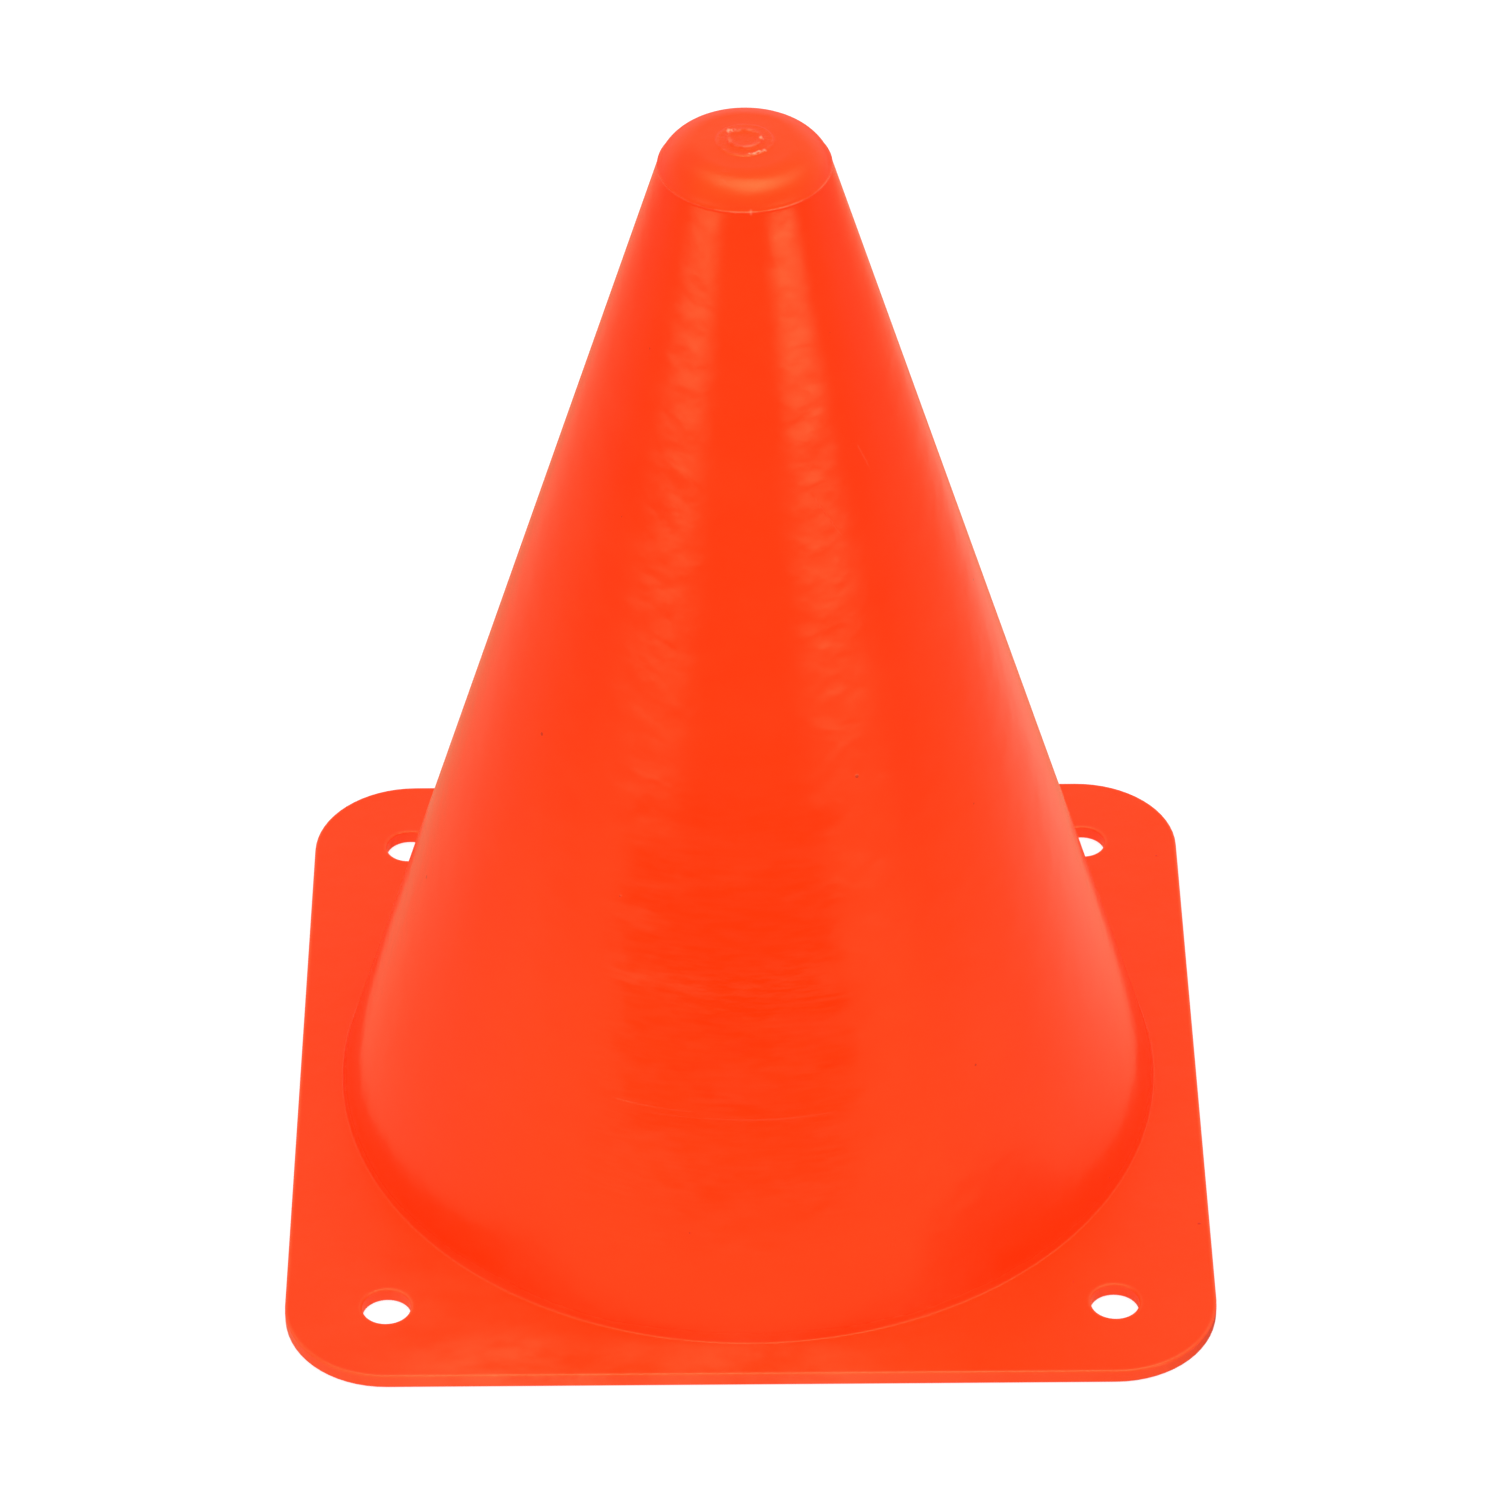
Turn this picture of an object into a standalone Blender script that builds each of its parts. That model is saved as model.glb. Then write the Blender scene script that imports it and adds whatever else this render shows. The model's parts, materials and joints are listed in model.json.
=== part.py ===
"""Agility cone: one soft plastic moulding with a square flange and a hollow tapered wall.

The frame is in metres with +Z up. The origin is at the middle of the flange's underside, which rests on the
ground, and the flange's sides run along X and Y.

The moulding is one continuous skin. Turned profiles make the outside of the wall, the cavity and the four
corner holes. A small section carried round the rounded square makes the flange's edge. Flat faces then close
the flange between all these open loops, above and below, so that no seam or overlap is left inside the form.
"""

import math

import bmesh
import bpy

# Flange: a rounded square, narrowest at the middle of each side, where the rim width is left outside the wall
BASE_SIDE = 0.142
FLANGE_THICKNESS = 0.0024
CORNER_RADIUS = 0.016
EDGE_ROUND = 0.0004
RIM_WIDTH = 0.0065

# Corner holes: each centre lies this far in from the two nearest sides
HOLE_INSET = 0.0155
HOLE_RADIUS = 0.0037
HOLE_RIM_ROUND = 0.0004

# Outside of the wall, from the flange's underside to the crown. The flank runs straight between its two rounds.
BODY_HEIGHT = 0.1771
FOOT_FILLET = 0.0008
SHOULDER_RADIUS = 0.0061

# Fine raised line where the mould's top insert meets its wall, at the start of the shoulder
PARTING_LINE_WIDTH = 0.0004
PARTING_LINE_RISE = 0.0001

# Mark of the injection gate in the middle of the crown: a low round pad that carries a trimmed, dished stub.
# The widths add up outwards from the dish, and the last one is the flat ring that is left round the pad.
GATE_DISH_RADIUS = 0.0021
GATE_DISH_DEPTH = 0.00025
GATE_STUB_LIP = 0.0005
GATE_STUB_RISE = 0.0003
GATE_PAD_WIDTH = 0.0015
GATE_PAD_RISE = 0.00015
CROWN_WIDTH = 0.0027

# Inside of the wall, open below so that the cones nest
WALL = 0.002
CROWN_WALL = 0.0025
CAVITY_ROUND = 0.004
MOUTH_ROUND = 0.0024

# Points closer than this are one point
WELD_DISTANCE = 0.000001

# How finely curves are divided
BODY_SEGMENTS = 96
HOLE_SEGMENTS = 24
CORNER_STEPS = 12
FILLET_STEPS = 4
SHOULDER_STEPS = 8
SMALL_ROUND_STEPS = 3
SMOOTH_ANGLE = math.radians(35)

# Soft orange plastic
PLASTIC_COLOUR = (1.0, 0.061, 0.013, 1.0)
PLASTIC_ROUGHNESS = 0.36
PLASTIC_METALLIC = 0.0

FULL_TURN = 2 * math.pi
RIGHT_ANGLE = math.pi / 2

# Places that follow from the sizes above, as (radius, height) where they are points
GATE_STUB_RADIUS = GATE_DISH_RADIUS + GATE_STUB_LIP
GATE_PAD_RADIUS = GATE_STUB_RADIUS + GATE_PAD_WIDTH
CROWN_RADIUS = GATE_PAD_RADIUS + CROWN_WIDTH
CREASE_RADIUS = BASE_SIDE / 2 - RIM_WIDTH
SHOULDER_CENTRE = (CROWN_RADIUS, BODY_HEIGHT - SHOULDER_RADIUS)
FOOT_CENTRE = (CREASE_RADIUS, FLANGE_THICKNESS + FOOT_FILLET)
HOLE_PLACE = BASE_SIDE / 2 - HOLE_INSET


def clear_scene():
    for item in list(bpy.data.objects):
        bpy.data.objects.remove(item, do_unlink=True)


def plastic_material():
    material = bpy.data.materials.new("orange_plastic")
    material.use_nodes = True
    shader = material.node_tree.nodes["Principled BSDF"]
    shader.inputs["Base Color"].default_value = PLASTIC_COLOUR
    shader.inputs["Roughness"].default_value = PLASTIC_ROUGHNESS
    shader.inputs["Metallic"].default_value = PLASTIC_METALLIC
    return material


def on_circle(centre, radius, angle):
    return (centre[0] + radius * math.cos(angle), centre[1] + radius * math.sin(angle))


def arc(centre, radius, start, end, steps):
    """Points along an arc, both ends included."""
    return [on_circle(centre, radius, start + (end - start) * step / steps) for step in range(steps + 1)]


def flank_lean():
    """The flank's lean from upright: the straight line that touches the shoulder and the foot fillet, one on
    each side of it."""
    across = FOOT_CENTRE[0] - SHOULDER_CENTRE[0]
    down = SHOULDER_CENTRE[1] - FOOT_CENTRE[1]
    touching = math.asin((SHOULDER_RADIUS + FOOT_FILLET) / math.hypot(across, down))
    return math.atan2(across, down) - touching


def flank_top():
    """Where the flank meets the shoulder."""
    return on_circle(SHOULDER_CENTRE, SHOULDER_RADIUS, flank_lean())


def cavity_radius(height):
    """Radius of the inside of the straight wall at this height."""
    radius, top = flank_top()
    return radius + (top - height) * math.tan(flank_lean()) - WALL / math.cos(flank_lean())


def corner_run(radius):
    """How far a round of this radius reaches along each side of the corner between the wall and a flat."""
    return radius * math.tan((RIGHT_ANGLE - flank_lean()) / 2)


def outer_profile():
    """The outside, from the flange's upper face to the middle of the crown."""
    lean = flank_lean()
    foot = arc(FOOT_CENTRE, FOOT_FILLET, 3 * RIGHT_ANGLE, math.pi + lean, FILLET_STEPS)

    radius, height = flank_top()
    half_line = PARTING_LINE_WIDTH / 2
    below_line = (radius + half_line * math.sin(lean), height - half_line * math.cos(lean))
    line_ridge = on_circle(SHOULDER_CENTRE, SHOULDER_RADIUS + PARTING_LINE_RISE, lean)
    above_line = lean + half_line / SHOULDER_RADIUS
    shoulder = arc(SHOULDER_CENTRE, SHOULDER_RADIUS, above_line, RIGHT_ANGLE, SHOULDER_STEPS)
    return foot + [below_line, line_ridge] + shoulder + gate_profile()


def gate_profile():
    """The gate mark, from the crown's flat ring to its middle."""
    pad = BODY_HEIGHT + GATE_PAD_RISE
    stub = pad + GATE_STUB_RISE
    dish = stub - GATE_DISH_DEPTH
    return [
        (GATE_PAD_RADIUS, BODY_HEIGHT),
        (GATE_PAD_RADIUS - GATE_PAD_RISE, pad),
        (GATE_STUB_RADIUS, pad),
        (GATE_STUB_RADIUS - GATE_STUB_RISE / 2, stub),
        (GATE_DISH_RADIUS, stub),
        (GATE_DISH_RADIUS / 2, dish),
        (0, dish),
    ]


def cavity_profile():
    """The inside, from the mouth in the flange's underside to the middle of the closed end."""
    lean = flank_lean()
    mouth_centre = (cavity_radius(0) + corner_run(MOUTH_ROUND), MOUTH_ROUND)
    mouth = arc(mouth_centre, MOUTH_ROUND, 3 * RIGHT_ANGLE, math.pi + lean, FILLET_STEPS)

    ceiling = BODY_HEIGHT - CROWN_WALL
    end_centre = (cavity_radius(ceiling) - corner_run(CAVITY_ROUND), ceiling - CAVITY_ROUND)
    end = arc(end_centre, CAVITY_ROUND, lean, RIGHT_ANGLE, FILLET_STEPS)
    return mouth + end + [(0, ceiling)]


def plate_side_profile(across, rounding):
    """A wall through the flange, from the underside up, with both rims rounded. The wall stands this far
    across, and the flange's flat faces lie beyond it."""
    lower_centre = (across + rounding, rounding)
    upper_centre = (across + rounding, FLANGE_THICKNESS - rounding)
    lower = arc(lower_centre, rounding, 3 * RIGHT_ANGLE, math.pi, SMALL_ROUND_STEPS)
    upper = arc(upper_centre, rounding, math.pi, RIGHT_ANGLE, SMALL_ROUND_STEPS)
    return lower + upper


def square_outline(inset):
    """Points of the flange's rounded square, drawn in by this much all round."""
    corner = BASE_SIDE / 2 - CORNER_RADIUS
    points = []
    for quarter in range(4):
        start = quarter * RIGHT_ANGLE
        middle = start + RIGHT_ANGLE / 2
        centre = (math.copysign(corner, math.cos(middle)), math.copysign(corner, math.sin(middle)))
        points += arc(centre, CORNER_RADIUS - inset, start, start + RIGHT_ANGLE, CORNER_STEPS)
    return points


def join_in_line(mesh, points):
    verts = [mesh.verts.new(point) for point in points]
    edges = [mesh.edges.new(pair) for pair in zip(verts, verts[1:])]
    return verts, edges


def add_turned_skin(mesh, profile, place, segments):
    """Turns a profile of (radius, height) points about the upright axis through this place."""
    across, along = place
    verts, edges = join_in_line(mesh, [(across + radius, along, height) for radius, height in profile])
    bmesh.ops.spin(
        mesh,
        geom=verts + edges,
        cent=(across, along, 0),
        axis=(0, 0, 1),
        angle=FULL_TURN,
        steps=segments,
        use_merge=True,
    )


def add_flange_edge(mesh):
    """Carries the edge's section round the rounded square."""
    loops = []
    for inset, height in plate_side_profile(0, EDGE_ROUND):
        verts, edges = join_in_line(mesh, [(x, y, height) for x, y in square_outline(inset)])
        loops.append(edges + [mesh.edges.new((verts[-1], verts[0]))])
    for lower, upper in zip(loops, loops[1:]):
        bmesh.ops.bridge_loops(mesh, edges=lower + upper)


def close_flange(mesh, height):
    """Fills the flat face at this height between all the open loops that lie in it."""
    loops = []
    for edge in mesh.edges:
        in_plane = all(abs(vert.co.z - height) < WELD_DISTANCE for vert in edge.verts)
        if edge.is_boundary and in_plane:
            loops.append(edge)
    bmesh.ops.triangle_fill(mesh, use_beauty=True, edges=loops)


def build_cone_body():
    mesh = bmesh.new()
    add_turned_skin(mesh, outer_profile(), (0, 0), BODY_SEGMENTS)
    add_turned_skin(mesh, cavity_profile(), (0, 0), BODY_SEGMENTS)
    for across in (-HOLE_PLACE, HOLE_PLACE):
        for along in (-HOLE_PLACE, HOLE_PLACE):
            hole = plate_side_profile(HOLE_RADIUS, HOLE_RIM_ROUND)
            add_turned_skin(mesh, hole, (across, along), HOLE_SEGMENTS)
    add_flange_edge(mesh)
    bmesh.ops.remove_doubles(mesh, verts=mesh.verts, dist=WELD_DISTANCE)
    close_flange(mesh, 0)
    close_flange(mesh, FLANGE_THICKNESS)
    bmesh.ops.recalc_face_normals(mesh, faces=mesh.faces)

    data = bpy.data.meshes.new("cone_body")
    mesh.to_mesh(data)
    mesh.free()
    data.materials.append(plastic_material())
    data.shade_smooth()
    data.set_sharp_from_angle(angle=SMOOTH_ANGLE)
    body = bpy.data.objects.new("cone_body", data)
    bpy.context.scene.collection.objects.link(body)


def main():
    clear_scene()
    build_cone_body()


main()
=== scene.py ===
import json
import math

import bpy
from mathutils import Matrix, Vector

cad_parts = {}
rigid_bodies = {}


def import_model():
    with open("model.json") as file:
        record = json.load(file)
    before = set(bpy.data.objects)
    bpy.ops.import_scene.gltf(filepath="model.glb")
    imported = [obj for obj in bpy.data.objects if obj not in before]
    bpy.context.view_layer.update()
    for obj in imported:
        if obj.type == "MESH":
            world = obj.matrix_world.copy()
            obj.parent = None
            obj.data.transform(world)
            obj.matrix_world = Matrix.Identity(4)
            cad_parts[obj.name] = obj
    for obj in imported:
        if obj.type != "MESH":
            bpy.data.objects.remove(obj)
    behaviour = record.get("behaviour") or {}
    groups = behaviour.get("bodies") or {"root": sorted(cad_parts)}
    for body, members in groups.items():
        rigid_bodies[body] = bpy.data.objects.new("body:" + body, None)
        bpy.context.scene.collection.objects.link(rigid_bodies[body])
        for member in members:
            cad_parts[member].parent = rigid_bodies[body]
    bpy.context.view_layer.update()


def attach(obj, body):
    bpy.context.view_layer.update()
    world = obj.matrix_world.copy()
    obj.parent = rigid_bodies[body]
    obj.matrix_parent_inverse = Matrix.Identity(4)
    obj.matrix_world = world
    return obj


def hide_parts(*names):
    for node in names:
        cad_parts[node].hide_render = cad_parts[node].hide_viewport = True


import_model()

# An orange agility cone: one moulding in soft plastic, standing on a white table in soft studio light.
# Metres, with +Z up. The origin is at the middle of the flange's underside, and the photographed side is -Y.

# Flange
BASE_SIDE = 0.142
FLANGE_THICKNESS = 0.0024
CORNER_RADIUS = 0.016
EDGE_ROUND = 0.0004
RIM_WIDTH = 0.0065
HOLE_INSET = 0.0155
HOLE_RADIUS = 0.0037
HOLE_RIM_ROUND = 0.0004

# Outside of the wall
BODY_HEIGHT = 0.1771
CREASE_RADIUS = BASE_SIDE / 2 - RIM_WIDTH
FOOT_FILLET = 0.0003
SHOULDER_RADIUS = 0.0061
CROWN_RADIUS = 0.0068
PARTING_LINE_WIDTH = 0.0003
PARTING_LINE_RISE = 0.0001
PARTING_LINE_LIFT = 0.0004

# Gate mark on the crown: a low pad, the trimmed stub on it, and the dish in the stub
GATE_PAD_RADIUS = 0.0041
GATE_STUB_RADIUS = 0.0026
GATE_DISH_RADIUS = 0.0021
GATE_PAD_RISE = 0.00015
GATE_STUB_RISE = 0.0003
GATE_DISH_DEPTH = 0.00025

# Inside of the wall
WALL = 0.002
CROWN_WALL = 0.0025
CAVITY_ROUND = 0.004
MOUTH_ROUND = 0.0024

# How finely the moulding is divided
WALL_SEGMENTS = 192
WALL_RINGS = 24
HOLE_SEGMENTS = 48
CORNER_SEGMENTS = 16
RIM_STEPS = 5
FOOT_STEPS = 6
SHOULDER_STEPS = 16
MOUTH_STEPS = 8
CAVITY_ROUND_STEPS = 10

# Points closer than this are one point, and a bend sharper than this angle stays an edge
WELD_DISTANCE = 0.000002
SMOOTH_ANGLE = math.radians(40)

RIGHT_ANGLE = math.pi / 2
FULL_TURN = 2 * math.pi

# Centres of the rounds, as (radius, height), and of the flange's holes and corners
SHOULDER_CENTRE = (CROWN_RADIUS, BODY_HEIGHT - SHOULDER_RADIUS)
FOOT_CENTRE = (CREASE_RADIUS, FLANGE_THICKNESS + FOOT_FILLET)
HOLE_PLACE = BASE_SIDE / 2 - HOLE_INSET
CORNER_CENTRE = BASE_SIDE / 2 - CORNER_RADIUS


def on_circle(centre, radius, angle):
    return (centre[0] + radius * math.cos(angle), centre[1] + radius * math.sin(angle))


def arc(centre, radius, start, end, steps):
    """Points along an arc, both ends included."""
    return [on_circle(centre, radius, start + (end - start) * step / steps) for step in range(steps + 1)]


def flank_lean():
    """The flank's lean from upright: the line that touches the shoulder and the foot fillet."""
    across = FOOT_CENTRE[0] - SHOULDER_CENTRE[0]
    down = SHOULDER_CENTRE[1] - FOOT_CENTRE[1]
    touching = math.asin((SHOULDER_RADIUS + FOOT_FILLET) / math.hypot(across, down))
    return math.atan2(across, down) - touching


def flank_top():
    """Where the flank meets the shoulder."""
    return on_circle(SHOULDER_CENTRE, SHOULDER_RADIUS, flank_lean())


# The seam is the parting line of the mould's top insert, with a blob of flash near its front
SEAM_ANGLE = flank_lean() + PARTING_LINE_LIFT / SHOULDER_RADIUS
SEAM_RADIUS, SEAM_HEIGHT = on_circle(SHOULDER_CENTRE, SHOULDER_RADIUS, SEAM_ANGLE)
FLASH_BLOB = on_circle((0, 0), SEAM_RADIUS, -0.48 * math.pi)

# Heights between which one kind of skin gives way to the next
FLANGE_ENDS = (0.0050, 0.0026)
CROWN_STARTS = (0.1745, 0.1765)
INSERT_STARTS = (SEAM_HEIGHT - 0.0002, SEAM_HEIGHT + 0.0003)

# Colours of the plastic
ORANGE = (1.0, 0.0342, 0.0023, 1.0)
DEEP_ORANGE = (1.0, 0.0318, 0.0017, 1.0)
# Paler orange for random clouds, and painted top light on the crown and the flange
TOP_LIGHT_AND_CLOUD_ORANGE = (1.0, 0.0430, 0.0032, 1.0)
SCUFFED_ORANGE = (1.0, 0.058, 0.015, 1.0)
# Paler bands: wear, and a painted highlight along the flange's rounded rim and its holes' rims
WEAR_AND_HIGHLIGHT_ORANGE = (1.0, 0.095, 0.028, 1.0)
# Pale seam and flash, and the gate's torn rims with painted glints
PALE_AND_GLINT_ORANGE = (1.0, 0.27, 0.15, 1.0)
SPECK_BROWN = (0.45, 0.02, 0.008, 1.0)
MIRRORED_TINT = (1.0, 0.8, 0.33, 1.0)

# Colours of the table and the room
TABLE_GREY = (0.20, 0.20, 0.20, 1.0)
MIRRORED_TABLE_GREY = (0.04, 0.04, 0.04, 1.0)
# Painted orange bounce light from the cone, seen only in reflections of the table
PAINTED_BOUNCE_ORANGE = (1.0, 0.34, 0.15, 1.0)
WHITE = (1.0, 1.0, 1.0, 1.0)


# Shader sums


class Value:
    """A number or a vector from one socket, which takes part in sums as a plain number does."""

    def __init__(self, shading, socket):
        self.shading = shading
        self.socket = socket

    def reckon(self, operation, *terms):
        return self.shading.node("ShaderNodeMath", {"operation": operation}, dict(enumerate(terms)))

    def __add__(self, other):
        return self.reckon("ADD", self, other)

    __radd__ = __add__

    def __sub__(self, other):
        return self.reckon("SUBTRACT", self, other)

    def __rsub__(self, other):
        return self.reckon("SUBTRACT", other, self)

    def __mul__(self, other):
        return self.reckon("MULTIPLY", self, other)

    __rmul__ = __mul__

    def __pow__(self, other):
        return self.reckon("POWER", self, other)

    def __abs__(self):
        return self.reckon("ABSOLUTE", self)

    def at_least(self, lowest):
        return self.reckon("MAXIMUM", self, lowest)

    def at_most(self, highest):
        return self.reckon("MINIMUM", self, highest)

    def bearing(self, ahead):
        """The angle in radians at which a point lies that is this far aside and that far ahead."""
        return self.reckon("ARCTAN2", self, ahead)


class Shading:
    """The node tree of one material or of the world."""

    def __init__(self, owner):
        owner.use_nodes = True
        self.tree = owner.node_tree
        self.tree.nodes.clear()

    def node(self, kind, settings=None, inputs=None, output=0):
        """Adds a node with its settings, then the values and links of its sockets."""
        made = self.tree.nodes.new(kind)
        for name, setting in (settings or {}).items():
            setattr(made, name, setting)
        for name, value in (inputs or {}).items():
            if isinstance(value, Value):
                self.tree.links.new(value.socket, made.inputs[name])
            else:
                made.inputs[name].default_value = value
        if len(made.outputs) == 0:
            return made
        return Value(self, made.outputs[output])

    def place(self, kind):
        """Where a point lies, or which way it is seen, in this kind of coordinates."""
        return self.node("ShaderNodeTexCoord", {}, {}, kind)

    def parts(self, vector, axes="XYZ"):
        """The vector's parts along these axes."""
        return [self.node("ShaderNodeSeparateXYZ", {}, {0: vector}, axis) for axis in axes]

    def ray_is(self, kind):
        """1 for the light paths of this kind, and 0 for the others."""
        return self.node("ShaderNodeLightPath", {}, {}, f"Is {kind} Ray")

    def ramp(self, value, start, end):
        """0 before start and 1 past end, with a soft change between them. It falls where end is smaller."""
        settings = {"interpolation_type": "SMOOTHSTEP", "clamp": True}
        inputs = {"Value": value, "From Min": start, "From Max": end}
        return self.node("ShaderNodeMapRange", settings, inputs)

    def near(self, value, middle, outer, inner):
        """1 closer to the middle than inner and 0 further off than outer, with a soft change between them."""
        return self.ramp(abs(value - middle), outer, inner)

    def blend(self, factor, first, second):
        """A colour between two colours."""
        settings = {"data_type": "RGBA", "clamp_factor": True}
        return self.node("ShaderNodeMix", settings, {0: factor, 6: first, 7: second}, 2)

    def bump(self, height, distance, strength, below):
        """A relief over the one below it, which is None for the first."""
        inputs = {"Height": height, "Distance": distance, "Strength": strength}
        if below is not None:
            inputs["Normal"] = below
        return self.node("ShaderNodeBump", {}, inputs)


def length(across, along):
    return (across * across + along * along) ** 0.5


def distance_from(across, along, centre):
    """Distance, seen from above, from this place."""
    return length(across - centre[0], along - centre[1])


# Soft plastic of the moulding


class Skin:
    """Where a point of the plastic's skin lies, in each way that the marks on it need."""

    def __init__(self, shading):
        self.shading = shading
        self.place = shading.place("Object")
        self.across, self.along, self.height = shading.parts(self.place)
        self.radius = length(self.across, self.along)

        # Turned round the axis from the front, positive to the right
        self.turn = self.across.bearing(0 - self.along)

        self.on_flange = shading.ramp(self.height, *FLANGE_ENDS)
        self.on_crown = shading.ramp(self.height, *CROWN_STARTS)
        self.on_insert = shading.ramp(self.height, *INSERT_STARTS)

    def noise(self, scale, detail=2.0, roughness=0.5, distortion=0.0, squeezed=None):
        """An uneven pattern from 0 to 1. Squeezed says how many times shorter it is along each axis."""
        vector = self.place
        if squeezed is not None:
            multiply = {"operation": "MULTIPLY"}
            vector = self.shading.node("ShaderNodeVectorMath", multiply, {0: self.place, 1: squeezed})
        inputs = {
            "Vector": vector,
            "Scale": scale,
            "Detail": detail,
            "Roughness": roughness,
            "Distortion": distortion,
        }
        return self.shading.node("ShaderNodeTexNoise", {}, inputs, "Fac")

    def spot(self, centre, outer, inner):
        """1 closer than inner to this place, seen from above, and 0 further off than outer."""
        return self.shading.ramp(distance_from(self.across, self.along, centre), outer, inner)


def handled_front(skin):
    """Hands have polished the front of the wall low down. Gives the polished patch, the dull smudges in it,
    and the fine strokes round it, which are plainest in one row."""
    ramp = skin.shading.ramp
    near = skin.shading.near
    middle_turn = -0.085
    half_width = (0.44, 0.30)
    lower_end = (0.012, 0.030)
    upper_end = (0.100, 0.066)
    turn_stray = 0.30
    height_stray = 0.030
    row_height = 0.0575
    row_half_height = (0.0050, 0.0005)

    strokes = ramp(skin.noise(200.0, 4.0, 0.66, squeezed=(1.0, 1.0, 9.0)), 0.42, 0.60)
    patches = skin.noise(65.0, 4.0, 0.66, squeezed=(1.0, 1.0, 3.0))
    stray = patches - 0.5
    row = near(skin.height, row_height, *row_half_height)
    smudge = 0.70 * ramp(patches, 0.46, 0.66) + (0.12 + 0.45 * row) * strokes

    stray_height = skin.height + height_stray * stray
    band = ramp(stray_height, *lower_end) * ramp(stray_height, *upper_end)
    polished = near(skin.turn + turn_stray * stray, middle_turn, *half_width) * band
    return polished, smudge, strokes


def flange_wear_and_rim_highlight(skin):
    """The scuffs on the flange, and its palest marks: wear on the front strip, and paler bands along its rim
    and round the rims of its holes, partly wear and partly a painted highlight on the rounded edges.
    """
    ramp = skin.shading.ramp
    near = skin.shading.near
    strip_depth = (-0.059, -0.067)
    strip_middle = -0.012
    strip_half_length = (0.050, 0.014)
    left_spot = (-0.046, -0.058)
    left_spot_radius = (0.026, 0.010)

    grain = skin.noise(80.0, 4.0, 0.7, 0.2, squeezed=(0.7, 1.3, 1.0))
    front_strip = ramp(skin.along, *strip_depth) * near(skin.across, strip_middle, *strip_half_length)
    front_left = skin.spot(left_spot, *left_spot_radius)
    scuffed = ramp(grain, 0.28, 0.70) * (0.15 + 0.85 * front_strip + 0.45 * front_left) * skin.on_flange

    across = abs(skin.across)
    along = abs(skin.along)
    off_hole = distance_from(across, along, (HOLE_PLACE, HOLE_PLACE)) - HOLE_RADIUS
    past_corner = length((across - CORNER_CENTRE).at_least(0.0), (along - CORNER_CENTRE).at_least(0.0))
    off_rim = CORNER_RADIUS - past_corner
    # Paler bands along the rim and round the holes: wear, and a painted highlight on the rounded edges
    rims = ramp(off_hole, 0.0008, 0.0001) + ramp(off_rim, 0.0007, 0.0002)
    rim_wear_and_highlight = rims * skin.on_flange * (0.6 + 0.4 * ramp(grain, 0.3, 0.6))
    wear_and_rim_highlight = 0.45 * rim_wear_and_highlight + scuffed * (0.50 * front_strip + 0.22 * front_left)
    return scuffed, wear_and_rim_highlight


def rubbed_ring(skin):
    """A faint ring rubbed into the front of the wall, and a shorter one just above it at the left."""
    near = skin.shading.near
    ring_height = 0.0374
    wander = 0.0009
    long_half_width = (0.00016, 0.00004)
    long_middle_turn = -0.01
    long_half_turn = (0.34, 0.00)
    short_rise = 0.0009
    short_half_width = (0.00014, 0.00004)
    short_middle_turn = -0.27
    short_half_turn = (0.16, 0.05)

    faded = 0.35 + 0.65 * skin.shading.ramp(skin.noise(90.0), 0.40, 0.60)
    off_ring = skin.height - (ring_height + wander * skin.noise(30.0, 1.0))
    long_ring = near(off_ring, 0.0, *long_half_width) * near(skin.turn, long_middle_turn, *long_half_turn)
    short_ring = near(off_ring, short_rise, *short_half_width)
    short_ring = short_ring * near(skin.turn, short_middle_turn, *short_half_turn)
    return (long_ring + 0.5 * short_ring) * faded


def scratch(skin, stray, start, end, width):
    """A fine line on the wall from start to end, each a (turn, height), which strays by the value given."""
    ramp = skin.shading.ramp
    fade_in = 0.1
    fade_out = 0.6
    core = 0.3

    middle_height = (start[1] + end[1]) / 2
    reach = SEAM_RADIUS + (SEAM_HEIGHT - middle_height) * math.tan(flank_lean())
    run = Vector(((end[0] - start[0]) * reach, end[1] - start[1]))
    step = run.normalized()
    sideways = (skin.turn - start[0]) * reach
    upward = skin.height - start[1]
    onward = sideways * step.x + upward * step.y
    aside = sideways * step.y - upward * step.x + stray
    begun = ramp(onward, 0.0, fade_in * run.length)
    not_ended = ramp(onward, run.length, fade_out * run.length)
    return ramp(abs(aside), width, core * width) * begun * not_ended


def high_scratches(skin):
    """Two short ragged scratches high at the right."""
    ragged = 0.0005 * (skin.noise(420.0, 3.0, 0.6) - 0.5)
    long_one = scratch(skin, ragged, start=(0.385, 0.1315), end=(0.545, 0.1233), width=0.00016)
    short_one = scratch(skin, 2.0 * ragged, start=(0.746, 0.1362), end=(0.805, 0.1312), width=0.00020)
    return long_one + short_one


def brown_specks(skin):
    """Small specks in the plastic. Only a few cells of the pattern have one."""
    shading = skin.shading
    cells = {"Vector": skin.place, "Scale": 240.0, "Randomness": 1.0}
    off_middle = shading.node("ShaderNodeTexVoronoi", {"feature": "F1"}, cells, "Distance")
    picked = shading.ramp(skin.noise(190.0, 0.0), 0.70, 0.72)
    return shading.ramp(off_middle, 0.10, 0.05) * picked


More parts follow.
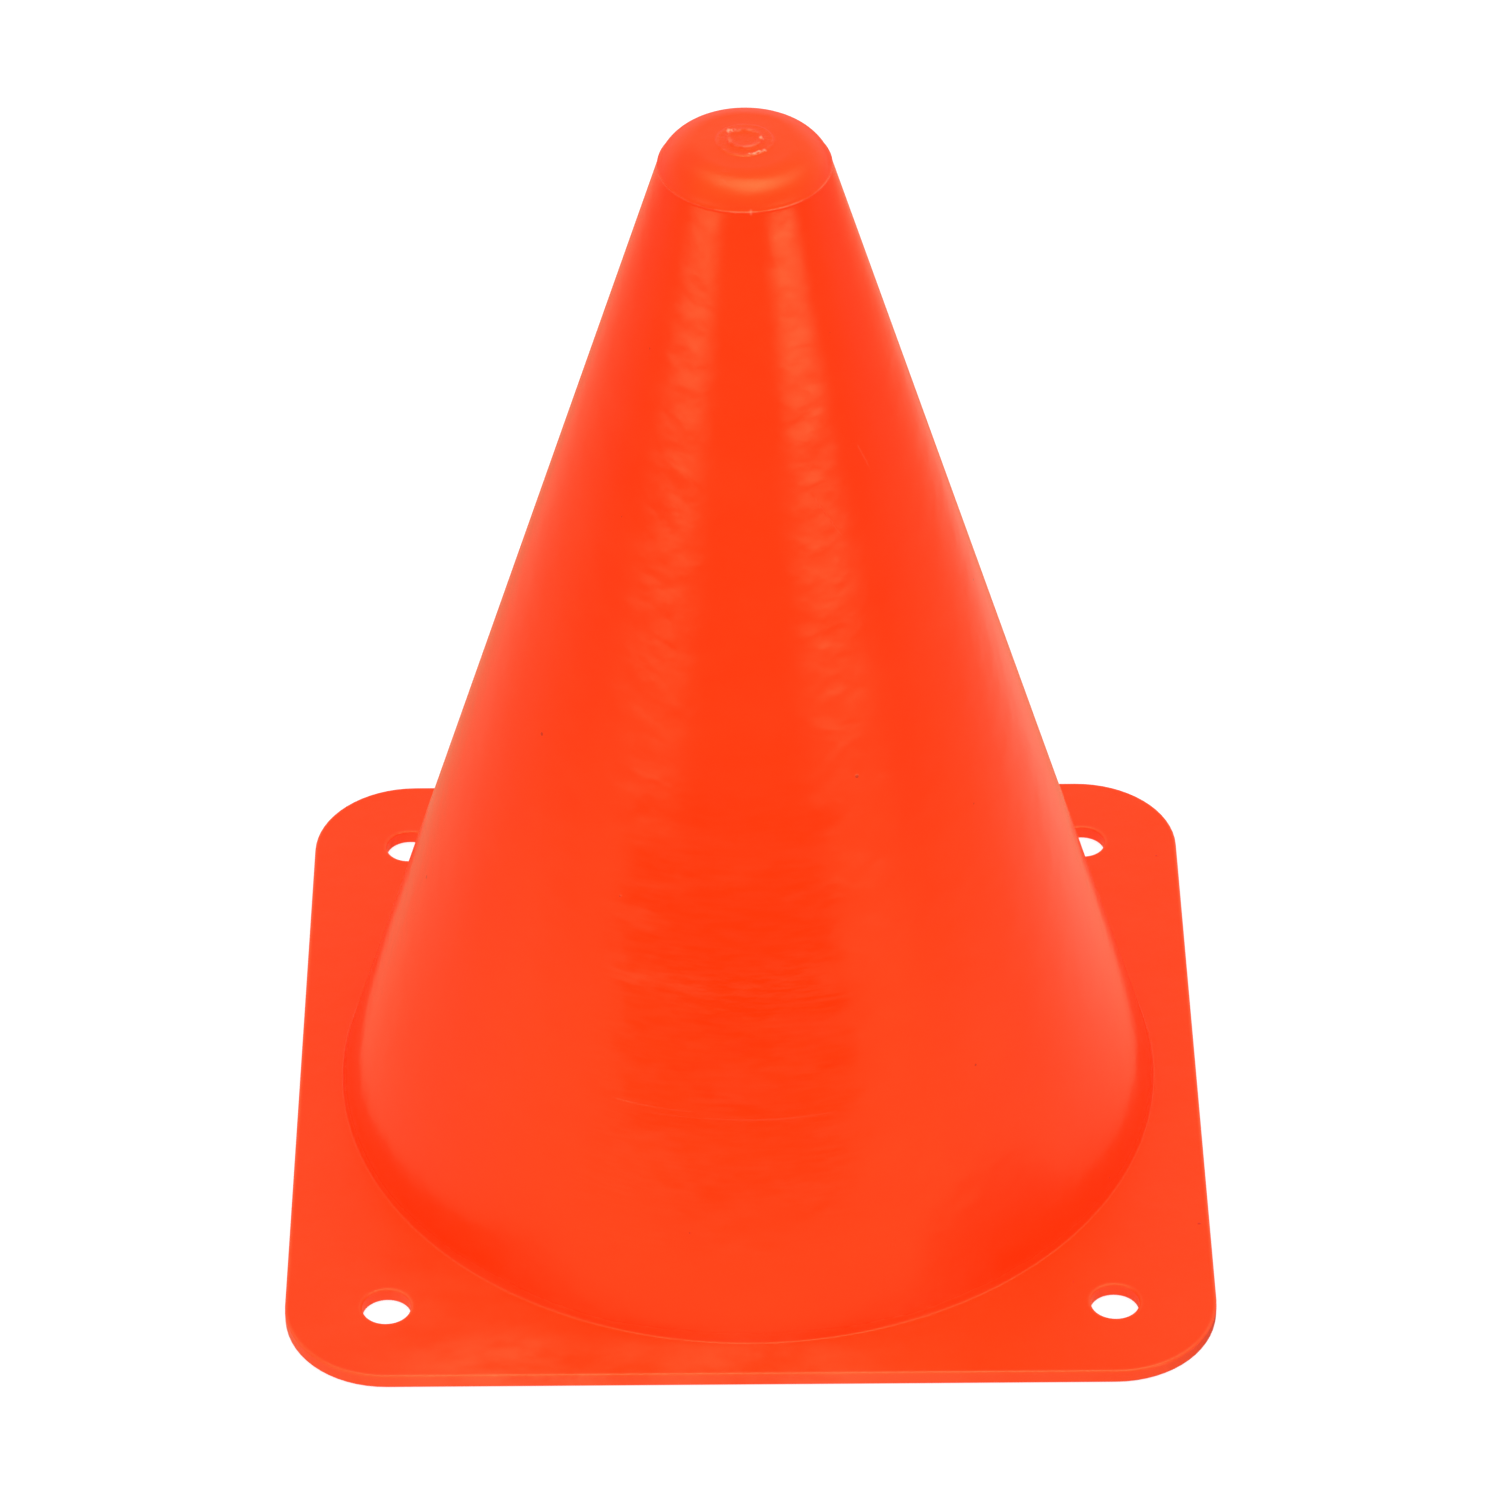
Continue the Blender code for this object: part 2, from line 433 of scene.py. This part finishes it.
def insert_seam(skin):
    """The pale, broken line where the two mould parts meet, fainter round the left, and its blob of flash."""
    ramp = skin.shading.ramp
    near = skin.shading.near
    line_half_width = (0.00020, 0.00005)
    blob_radius = (0.00028, 0.00008)
    blob_half_height = (0.0006, 0.0002)
    left_to_right = (-0.9, -0.1)

    broken = ramp(skin.noise(260.0, 3.0, 0.6), 0.36, 0.62)
    reach = 0.35 + 0.65 * ramp(skin.turn, *left_to_right)
    seam = near(skin.height, SEAM_HEIGHT, *line_half_width) * broken * reach
    blob = skin.spot(FLASH_BLOB, *blob_radius) * near(skin.height, SEAM_HEIGHT, *blob_half_height)
    return seam, blob


def painted_crown_light(skin):
    """Painted top light on the mould's top insert: a share of paler colour over the crown, taken off in
    blotches down its side and most of all in a patch at the front left, which are darker."""
    ramp = skin.shading.ramp
    left_patch = (-0.0104, -0.0056)
    left_patch_radius = (0.0070, 0.0020)
    side_heights = (0.1760, 0.1736)

    blotches = ramp(skin.noise(330.0, 3.0, 0.6), 0.35, 0.65)
    darker_patch = skin.spot(left_patch, *left_patch_radius)
    darker_side = ramp(skin.height, *side_heights) * (0.30 + 0.50 * blotches)
    return skin.on_insert * (1 - 1.1 * darker_patch) * (1 - darker_side)


def crown_scuffs(skin):
    """Fine scuffs where the crown turns down at the front left."""
    middle = (-0.0030, -0.0086)
    radius = (0.0024, 0.0008)

    brushing = skin.noise(900.0, 2.0, 0.6, squeezed=(1.0, 3.0, 3.0))
    return skin.spot(middle, *radius) * skin.on_insert * skin.shading.ramp(brushing, 0.52, 0.62)


def gate_mark(skin):
    """The gate was torn off and trimmed: pale, ragged rims round a dull dish, with painted glints on its torn
    places. Gives the whole mark, how pale it is with its painted glints, and its relief."""
    ramp = skin.shading.ramp
    near = skin.shading.near
    mark_radius = (0.0044, 0.0040)
    inner_rim_radius = 0.00232
    inner_rim_half_width = (0.00036, 0.00010)
    outer_rim_radius = 0.00395
    outer_rim_half_width = (0.00030, 0.00008)
    back_left_tear = (-0.0019, 0.0023)
    back_left_size = (0.0009, 0.0004)
    front_right_radius = 0.0038
    front_right_half_width = (0.00040, 0.00015)
    front_right_turn = 0.48
    front_right_half_turn = (0.42, 0.28)
    right_nick = (0.0024, 0.0001)
    right_nick_size = (0.00045, 0.00020)

    torn = skin.noise(1500.0, 3.0, 0.6, 0.5)
    ragged = skin.noise(900.0, 2.0, 0.6)
    ragged_radius = skin.radius + 0.0009 * (ragged - 0.5)
    gate = ramp(skin.radius, *mark_radius) * skin.on_crown

    inner_rim = near(ragged_radius, inner_rim_radius, *inner_rim_half_width) * ramp(ragged, 0.40, 0.62)
    outer_rim = near(ragged_radius, outer_rim_radius, *outer_rim_half_width) * ramp(ragged, 0.35, 0.55)
    rims = inner_rim + 0.30 * outer_rim

    # Painted glints on the torn places, at the back left, along the front right and at a nick on the right,
    # partly whitened torn plastic; the same places are raised in the relief
    front_right = near(ragged_radius, front_right_radius, *front_right_half_width)
    front_right = front_right * near(skin.turn, front_right_turn, *front_right_half_turn)
    torn_places = skin.spot(back_left_tear, *back_left_size) + front_right
    tears_and_glints = torn_places * ramp(torn, 0.40, 0.56) + 0.6 * skin.spot(right_nick, *right_nick_size)
    paleness = (0.24 * rims + tears_and_glints) * skin.on_crown
    return gate, paleness, (torn + tears_and_glints) * gate


class Marks:
    """Every mark on the moulding, and the painted light on its crown, rims and gate, as the values that its
    colour, gloss and relief are worked out from.
    """

    def __init__(self, skin):
        self.polished, self.smudge, self.strokes = handled_front(skin)
        self.scuffed, self.wear_and_rim_highlight = flange_wear_and_rim_highlight(skin)
        self.rubbed_ring = rubbed_ring(skin)
        self.scratches = high_scratches(skin)
        self.specks = brown_specks(skin)
        self.seam, self.flash_blob = insert_seam(skin)
        self.painted_crown_light = painted_crown_light(skin)
        self.crown_scuffs = crown_scuffs(skin)
        self.gate, self.gate_paleness, self.gate_relief = gate_mark(skin)


def plastic_colour(skin, marks):
    """Clear orange under layers of colour. Each layer covers what is below it by its share."""
    ramp = skin.shading.ramp
    deeper = 0.5 * ramp(skin.noise(18.0, 3.0, 0.55), 0.35, 0.72)
    clouds = ramp(skin.noise(75.0, 5.0, 0.66, squeezed=(1.0, 1.0, 1.5)), 0.36, 0.68)
    layers = [
        (deeper, DEEP_ORANGE),
        # Paler: random clouds, and painted top light on the crown's insert and on the flange
        (marks.painted_crown_light + 0.35 * skin.on_flange + 0.22 * clouds, TOP_LIGHT_AND_CLOUD_ORANGE),
        (0.15 * marks.strokes * marks.polished + 0.15 * marks.scuffed, SCUFFED_ORANGE),
        # Wear on the flange's front strip, and a painted highlight along its rims and round its holes
        (marks.wear_and_rim_highlight, WEAR_AND_HIGHLIGHT_ORANGE),
        # Pale seam and flash, and the gate's pale rims with painted glints on its torn places
        (0.20 * marks.seam + 0.3 * marks.flash_blob + marks.gate_paleness, PALE_AND_GLINT_ORANGE),
        (0.6 * marks.scratches + 0.45 * marks.rubbed_ring + 0.5 * marks.crown_scuffs, SCUFFED_ORANGE),
        (0.75 * marks.specks, SPECK_BROWN),
    ]
    colour = ORANGE
    for share, layer_colour in layers:
        colour = skin.shading.blend(share, colour, layer_colour)
    return colour


def plastic_roughness(skin, marks):
    """Duller on the flange and on the insert's skin than on the wall, and glossiest where it is polished."""
    plain = 0.13
    dullest_on_wall = 0.268

    grain = skin.noise(900.0, 3.0, 0.55)
    sheen_change = skin.noise(60.0, 5.0, 0.7, 0.2, squeezed=(1.0, 1.0, 1.6))
    uneven = plain + 0.12 * sheen_change + 0.02 * grain
    uneven = uneven + 0.12 * skin.on_insert + 0.12 * skin.on_flange
    polish = 0.12 * marks.polished * (1 - marks.smudge)
    dulled = 0.035 * marks.smudge * marks.polished + 0.06 * marks.rubbed_ring
    dulled = dulled + 0.10 * marks.scuffed + 0.06 * marks.gate

    # The wall keeps its gloss under every mark, and only the insert's skin and the flange may be duller
    dullest = dullest_on_wall + 0.5 * skin.on_insert + 0.5 * skin.on_flange
    return (uneven - polish + dulled).at_most(dullest)


def plastic_relief(skin, marks):
    """Slow waves and a fine mottling left by cooling, then the rippled skin, then the marks. Each layer has
    its depth and its strength."""
    waves = skin.noise(24.0, 2.0, 0.45)
    mottling = skin.noise(250.0, 2.0, 0.4)
    ripples = skin.noise(620.0, 3.0, 0.6, squeezed=(1.0, 1.0, 2.2))
    fine_marks = 0.5 * marks.specks - 0.8 * marks.scratches - 0.9 * marks.rubbed_ring
    layers = [
        (waves, 0.0009, 0.35),
        (mottling, 0.0004, 0.23),
        (ripples, 0.000035, 0.25),
        (fine_marks, 0.00006, 0.6),
        (marks.gate_relief, 0.00018, 0.55),
    ]
    normal = None
    for height, depth, strength in layers:
        normal = skin.shading.bump(height, depth, strength, normal)
    return normal


def orange_plastic():
    material = bpy.data.materials.new("orange_plastic_moulded")
    shading = Shading(material)
    skin = Skin(shading)
    marks = Marks(skin)
    finish = {
        "Base Color": plastic_colour(skin, marks),
        "Metallic": 0.0,
        "Roughness": plastic_roughness(skin, marks),
        "IOR": 1.5,
        "Specular Tint": MIRRORED_TINT,
        "Normal": plastic_relief(skin, marks),
    }
    shader = shading.node("ShaderNodeBsdfPrincipled", {}, finish)
    shading.node("ShaderNodeOutputMaterial", {}, {"Surface": shader})
    return material


# Modelling by hand


def deselect_everything():
    if bpy.context.mode != "OBJECT":
        bpy.ops.object.mode_set(mode="OBJECT")
    bpy.ops.object.select_all(action="DESELECT")


def select_edges(wanted):
    """Selects the edges whose two ends both pass the test, and nothing else."""
    bpy.ops.mesh.select_mode(type="EDGE")
    bpy.ops.mesh.select_all(action="DESELECT")
    bpy.ops.object.mode_set(mode="OBJECT")
    mesh = bpy.context.object.data
    for edge in mesh.edges:
        edge.select = all(wanted(mesh.vertices[corner].co) for corner in edge.vertices)
    bpy.ops.object.mode_set(mode="EDIT")


def select_flat_faces(least_upright):
    """Selects the faces whose normal points up or down by at least this share, and nothing else."""
    bpy.ops.mesh.select_mode(type="FACE")
    bpy.ops.mesh.select_all(action="DESELECT")
    bpy.ops.object.mode_set(mode="OBJECT")
    for face in bpy.context.object.data.polygons:
        face.select = abs(face.normal.z) > least_upright
    bpy.ops.object.mode_set(mode="EDIT")


def draw_line(points):
    """Draws a line by pulling one vertex from point to point, and leaves the line selected."""
    bpy.ops.mesh.select_mode(type="VERT")
    bpy.ops.mesh.select_all(action="DESELECT")
    bpy.ops.mesh.primitive_plane_add(size=EDGE_ROUND, location=points[0])
    bpy.ops.mesh.merge(type="CENTER")
    for start, end in zip(points, points[1:]):
        step = Vector(end) - Vector(start)
        bpy.ops.mesh.extrude_vertices_move(TRANSFORM_OT_translate={"value": step})
    bpy.ops.mesh.select_linked()


def turn_profile(profile, place, segments):
    """Turns a line of (radius, height) points about the upright axis through this place."""
    across, along = place
    draw_line([(across + radius, along, height) for radius, height in profile])
    bpy.ops.mesh.spin(steps=segments, angle=FULL_TURN, center=(across, along, 0), axis=(0, 0, 1))


def cavity_radius(height):
    """Radius of the inside of the straight wall at this height."""
    radius, top = flank_top()
    return radius + (top - height) * math.tan(flank_lean()) - WALL / math.cos(flank_lean())


def corner_run(radius):
    """How far a round of this radius reaches along each side of the corner between the wall and a flat."""
    return radius * math.tan((RIGHT_ANGLE - flank_lean()) / 2)


def in_steps(start, end, steps):
    """Points along a straight run, without its two ends."""
    run = []
    for step in range(1, steps):
        share = step / steps
        run.append((start[0] + (end[0] - start[0]) * share, start[1] + (end[1] - start[1]) * share))
    return run


def outside_profile():
    """The outside, from the flange's upper face to the middle of the crown."""
    foot = arc(FOOT_CENTRE, FOOT_FILLET, 3 * RIGHT_ANGLE, math.pi + flank_lean(), FOOT_STEPS)
    flank = in_steps(foot[-1], flank_top(), WALL_RINGS)
    half_line = PARTING_LINE_WIDTH / 2 / SHOULDER_RADIUS
    below = on_circle(SHOULDER_CENTRE, SHOULDER_RADIUS, SEAM_ANGLE - half_line)
    ridge = on_circle(SHOULDER_CENTRE, SHOULDER_RADIUS + PARTING_LINE_RISE, SEAM_ANGLE)
    above = SEAM_ANGLE + half_line
    shoulder = arc(SHOULDER_CENTRE, SHOULDER_RADIUS, above, RIGHT_ANGLE, SHOULDER_STEPS)
    return foot + flank + [flank_top(), below, ridge] + shoulder + gate_profile()


def gate_profile():
    """The gate mark, from the foot of its pad to its middle, with every edge a little eased."""
    ease = 0.00003
    pad_foot = 0.0003
    pad_edge = 0.00012
    pad_flat = 0.0005
    stub_edge = 0.0001
    stub_foot_rise = 0.00005
    dish_edge_drop = 0.00002
    dish_wall = 0.0004
    dish_floor = 0.0009

    pad = BODY_HEIGHT + GATE_PAD_RISE
    stub = pad + GATE_STUB_RISE
    dish = stub - GATE_DISH_DEPTH
    return [
        (GATE_PAD_RADIUS + pad_foot, BODY_HEIGHT),
        (GATE_PAD_RADIUS, BODY_HEIGHT + ease),
        (GATE_PAD_RADIUS - pad_edge, pad),
        (GATE_PAD_RADIUS - pad_flat, pad),
        (GATE_STUB_RADIUS + stub_edge, pad),
        (GATE_STUB_RADIUS, pad + stub_foot_rise),
        (GATE_STUB_RADIUS - stub_edge, stub - ease),
        (GATE_STUB_RADIUS - 2 * stub_edge, stub),
        (GATE_DISH_RADIUS, stub - dish_edge_drop),
        (GATE_DISH_RADIUS - dish_wall, dish + 2 * ease),
        (GATE_DISH_RADIUS - dish_floor, dish),
        (0, dish + ease),
    ]


def inside_profile():
    """The inside, from the mouth in the flange's underside to the middle of the closed end."""
    lean = flank_lean()
    mouth_centre = (cavity_radius(0) + corner_run(MOUTH_ROUND), MOUTH_ROUND)
    mouth = arc(mouth_centre, MOUTH_ROUND, 3 * RIGHT_ANGLE, math.pi + lean, MOUTH_STEPS)
    ceiling = BODY_HEIGHT - CROWN_WALL
    end_centre = (cavity_radius(ceiling) - corner_run(CAVITY_ROUND), ceiling - CAVITY_ROUND)
    end = arc(end_centre, CAVITY_ROUND, lean, RIGHT_ANGLE, CAVITY_ROUND_STEPS)
    return mouth + in_steps(mouth[-1], end[0], WALL_RINGS) + end + [(0, ceiling)]


def hole_profile():
    """The wall of a corner hole, from the underside up, with both rims rounded."""
    lower_centre = (HOLE_RADIUS + HOLE_RIM_ROUND, HOLE_RIM_ROUND)
    upper_centre = (HOLE_RADIUS + HOLE_RIM_ROUND, FLANGE_THICKNESS - HOLE_RIM_ROUND)
    lower = arc(lower_centre, HOLE_RIM_ROUND, 3 * RIGHT_ANGLE, math.pi, RIM_STEPS)
    upper = arc(upper_centre, HOLE_RIM_ROUND, math.pi, RIGHT_ANGLE, RIM_STEPS)
    return lower + upper


def model_flange_edge():
    """A plate with rounded corners and rounded edges, then without its two flat faces."""
    roughly_flat = 0.9
    quite_flat = 0.999
    bpy.ops.mesh.primitive_plane_add(size=BASE_SIDE, location=(0, 0, 0))
    plate = bpy.context.object
    bpy.ops.object.mode_set(mode="EDIT")
    bpy.ops.mesh.select_all(action="SELECT")
    bpy.ops.mesh.bevel(offset=CORNER_RADIUS, segments=CORNER_SEGMENTS, affect="VERTICES")
    bpy.ops.mesh.select_all(action="SELECT")
    bpy.ops.mesh.extrude_region_move(TRANSFORM_OT_translate={"value": (0, 0, FLANGE_THICKNESS)})
    bpy.ops.mesh.select_all(action="SELECT")
    bpy.ops.mesh.normals_make_consistent(inside=False)
    select_flat_faces(roughly_flat)
    bpy.ops.mesh.bevel(offset=EDGE_ROUND, segments=RIM_STEPS, affect="EDGES")
    select_flat_faces(quite_flat)
    bpy.ops.mesh.delete(type="ONLY_FACE")
    return plate


def close_flat_face(height):
    """Fills the flat face at this height between all the loops that lie in it."""
    select_edges(lambda end: abs(end.z - height) < WELD_DISTANCE)
    bpy.ops.mesh.fill(use_beauty=True)


def model_moulding():
    """The flange's edge and the turned skins, closed into one solid with its faces pointing out."""
    deselect_everything()
    piece = model_flange_edge()
    piece.name = "cone_moulding"
    piece.data.name = "cone_moulding"
    turn_profile(outside_profile(), (0, 0), WALL_SEGMENTS)
    turn_profile(inside_profile(), (0, 0), WALL_SEGMENTS)
    for across in (-HOLE_PLACE, HOLE_PLACE):
        for along in (-HOLE_PLACE, HOLE_PLACE):
            turn_profile(hole_profile(), (across, along), HOLE_SEGMENTS)
    bpy.ops.mesh.select_all(action="SELECT")
    bpy.ops.mesh.remove_doubles(threshold=WELD_DISTANCE)
    close_flat_face(0)
    close_flat_face(FLANGE_THICKNESS)
    bpy.ops.mesh.select_all(action="SELECT")
    bpy.ops.mesh.normals_make_consistent(inside=False)
    bpy.ops.object.mode_set(mode="OBJECT")
    bpy.ops.object.shade_smooth_by_angle(angle=SMOOTH_ANGLE)
    bpy.ops.object.modifier_add(type="WEIGHTED_NORMAL")
    piece.modifiers[-1].keep_sharp = True
    bpy.ops.object.modifier_apply(modifier=piece.modifiers[-1].name)
    return piece


# Table, room and lamp


def mirrored_glow(shading, across, along, corner_shadow):
    """Painted light that the plastic mirrors of the table: a painted bright pool in front of the cone, less a
    painted shadow of the cone round its flange and at its front right corner, and dimmer painted glows at
    both sides further back."""
    ramp = shading.ramp
    front_edge = (-0.24, -0.18)
    front_edge_bend = 1.5
    back_edge = (0.02, -0.10)
    left_edge = (-0.42, -0.22)
    right_edge = (0.36, 0.18)
    shadow_right = (0.094, 0.084)
    shadow_left = (-0.080, -0.074)
    shadow_front = (-0.084, -0.076)
    right_glow_starts = (0.06, 0.12)
    right_glow_radius = (0.38, 0.12)
    left_glow_starts = (-0.10, -0.16)
    glows_front = (-0.05, 0.04)

    # A painted pool of light, seen only in reflections
    pool = ramp(along + front_edge_bend * across * across, *front_edge) * ramp(along, *back_edge)
    pool = pool * ramp(across, *left_edge) * ramp(across, *right_edge)
    # Painted shadows round the flange and at its front right corner
    shadow = ramp(across, *shadow_right) * ramp(across, *shadow_left) * ramp(along, *shadow_front)
    pool = pool * (1 - 0.85 * shadow) * (1 - 0.95 * corner_shadow)

    right_side = 0.28 * ramp(across, *right_glow_starts) * ramp(length(across, along), *right_glow_radius)
    left_side = 0.07 * ramp(across, *left_glow_starts)
    sides = ramp(along, *glows_front) * (right_side + left_side)
    return 0.03 + 0.34 * pool + sides


def mirrored_painted_bounce(shading, across, along, corner_shadow):
    """Painted orange bounce light from the cone, which the plastic mirrors of the table round the cone."""
    middle = (-0.03, 0.0)
    radius = (0.75, 0.32)
    starts_beside = (-0.25, -0.02)

    around = shading.ramp(distance_from(across, along, middle), *radius)
    beside = shading.ramp(along, *starts_beside)
    return (0.55 * around + 0.25 * beside) * (1 - 0.85 * corner_shadow)


def table_finish():
    """White to the camera and as a source of light. Only where the plastic mirrors it, the table is darker,
    with painted glows, painted shadows and a painted orange bounce from the cone."""
    seen_white = 0.86
    lighting_white = 0.85
    shadow_corner = (0.084, -0.070)
    shadow_corner_radius = (0.038, 0.022)

    material = bpy.data.materials.new("white_table")
    shading = Shading(material)
    mirrored = shading.ray_is("Glossy")
    looked_at = shading.ray_is("Camera") + shading.ray_is("Transmission")
    across, along = shading.parts(shading.place("Object"), "XY")
    # A painted shadow at the flange's front right corner, taken off the painted glows and bounce
    corner_shadow = shading.ramp(distance_from(across, along, shadow_corner), *shadow_corner_radius)
    glow = mirrored * mirrored_glow(shading, across, along, corner_shadow)
    painted_bounce = mirrored * mirrored_painted_bounce(shading, across, along, corner_shadow)

    shade = shading.blend(mirrored, TABLE_GREY, MIRRORED_TABLE_GREY)
    matte = shading.node("ShaderNodeBsdfDiffuse", {}, {"Color": shade})
    strength = seen_white * looked_at + lighting_white * shading.ray_is("Diffuse") + glow
    lift = shading.node("ShaderNodeEmission", {}, {"Strength": strength})
    # Painted orange bounce light round the cone
    tinted = shading.node("ShaderNodeEmission", {}, {"Color": PAINTED_BOUNCE_ORANGE, "Strength": painted_bounce})
    pale = shading.node("ShaderNodeAddShader", {}, {0: matte, 1: lift})
    both = shading.node("ShaderNodeAddShader", {}, {0: pale, 1: tinted})
    shading.node("ShaderNodeOutputMaterial", {}, {"Surface": both})
    return material


def white_table():
    """The table top, a hair below the flange and set further back than the cone."""
    size = (1.1, 1.5, 1)
    middle = (0, 0.33, -0.0001)
    deselect_everything()
    bpy.ops.mesh.primitive_plane_add(size=1, location=(0, 0, 0))
    table = bpy.context.object
    table.name = "table"
    bpy.ops.object.mode_set(mode="EDIT")
    bpy.ops.transform.resize(value=size)
    bpy.ops.transform.translate(value=middle)
    bpy.ops.object.mode_set(mode="OBJECT")
    table.data.materials.append(table_finish())


def mirrored_room(shading):
    """How bright the plastic mirrors the room: dim walls, a soft panel at each side and one overhead."""
    ramp = shading.ramp
    near = shading.near
    side_panel_top = (0.42, 0.10)
    right_strength = 4.6
    right_middle = 0.76
    right_half_width = (0.44, 0.10)
    left_strength = 3.0
    left_middle = -0.84
    left_half_width = (0.50, 0.12)
    left_lower_edge = (-0.096, -0.035)
    overhead_strength = 7.0
    overhead_half_depth = (0.44, 0.10)
    overhead_half_width = (0.75, 0.10)
    overhead_lower_edge = (0.5, 0.6)
    overhead_bend = 0.95

    right, back, up = shading.parts(shading.place("Generated"))
    bearing = right.bearing(0 - back)
    panel_top = ramp(up, *side_panel_top)

    # The right panel's lower edge slants and fades in two steps
    tilted = up + 0.07 * (bearing - 0.7)
    right_fade = 0.68 * ramp(tilted, -0.064, -0.034) + 0.22 * ramp(tilted, -0.115, -0.050)
    right_panel = right_strength * near(bearing, right_middle, *right_half_width) * right_fade * panel_top
    left_panel = left_strength * near(bearing, left_middle, *left_half_width)
    left_panel = left_panel * ramp(up, *left_lower_edge) * panel_top

    # The overhead panel bends back at its two ends
    aside = right - 0.10
    ahead = back + 0.20 - overhead_bend * aside * aside
    overhead_panel = overhead_strength * ramp(abs(ahead), *overhead_half_depth)
    overhead_panel = overhead_panel * ramp(abs(aside), *overhead_half_width) * ramp(up, *overhead_lower_edge)

    # The walls are a little brighter high up, low at the back, and round the sides and the back
    low_back = ramp(back, 0.3, 0.7) * ramp(up, 0.66, 0.52)
    sides_and_back = ramp(abs(bearing), 1.1, 1.9) * ramp(up, -0.40, -0.12) * ramp(up, 0.50, 0.25)
    walls = 0.03 + 0.14 * ramp(up, 0.0, 0.2) + 0.14 * low_back + 0.30 * sides_and_back
    return walls + right_panel + left_panel + overhead_panel


def pale_room():
    """Even white light from all round. Only what the plastic mirrors of the room is darker."""
    world = bpy.data.worlds.new("pale_room")
    bpy.context.scene.world = world
    world.cycles.sampling_method = "NONE"
    shading = Shading(world)
    plain = shading.ray_is("Camera") + shading.ray_is("Transmission")
    mirrored = shading.ray_is("Glossy")
    fill = 1.0 - plain - mirrored
    strength = plain + mirrored * mirrored_room(shading) + fill
    light = shading.node("ShaderNodeBackground", {}, {"Color": WHITE, "Strength": strength})
    shading.node("ShaderNodeOutputWorld", {}, {"Surface": light})


def overhead_lamp():
    """A wide soft lamp overhead that lights the upper faces a little more and casts the soft shadow."""
    lamp = bpy.data.lights.new("overhead_lamp", "AREA")
    lamp.shape = "DISK"
    lamp.size = 0.9
    lamp.energy = 8.0
    hung = bpy.data.objects.new("overhead_lamp", lamp)
    bpy.context.scene.collection.objects.link(hung)
    hung.location = (0, -0.25, 1.3)
    hung.rotation_euler = hung.location.to_track_quat("Z", "Y").to_euler()
    hung.visible_glossy = False


def photograph_camera():
    """The view of the photograph, fitted to the cone's outline, its holes and its parting line."""
    place = (-0.00406, -0.82209, 0.71667)
    heading = -0.0055
    dip = 0.6695
    roll = 0.0034
    camera = bpy.data.cameras.new("camera")
    camera.sensor_width = 36
    camera.lens = 164.53
    camera.clip_start = 0.01
    camera.clip_end = 20
    view = bpy.data.objects.new("camera", camera)
    bpy.context.scene.collection.objects.link(view)
    facing = Matrix.Rotation(heading, 4, "Z") @ Matrix.Rotation(RIGHT_ANGLE - dip, 4, "X")
    facing = facing @ Matrix.Rotation(-roll, 4, "Z")
    view.matrix_world = Matrix.Translation(place) @ facing
    bpy.context.scene.camera = view


moulding = model_moulding()
moulding.data.materials.clear()
moulding.data.materials.append(orange_plastic())
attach(moulding, "root")
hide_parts("cone_body")

white_table()
pale_room()
overhead_lamp()
photograph_camera()
bpy.context.scene.view_settings.view_transform = "Standard"
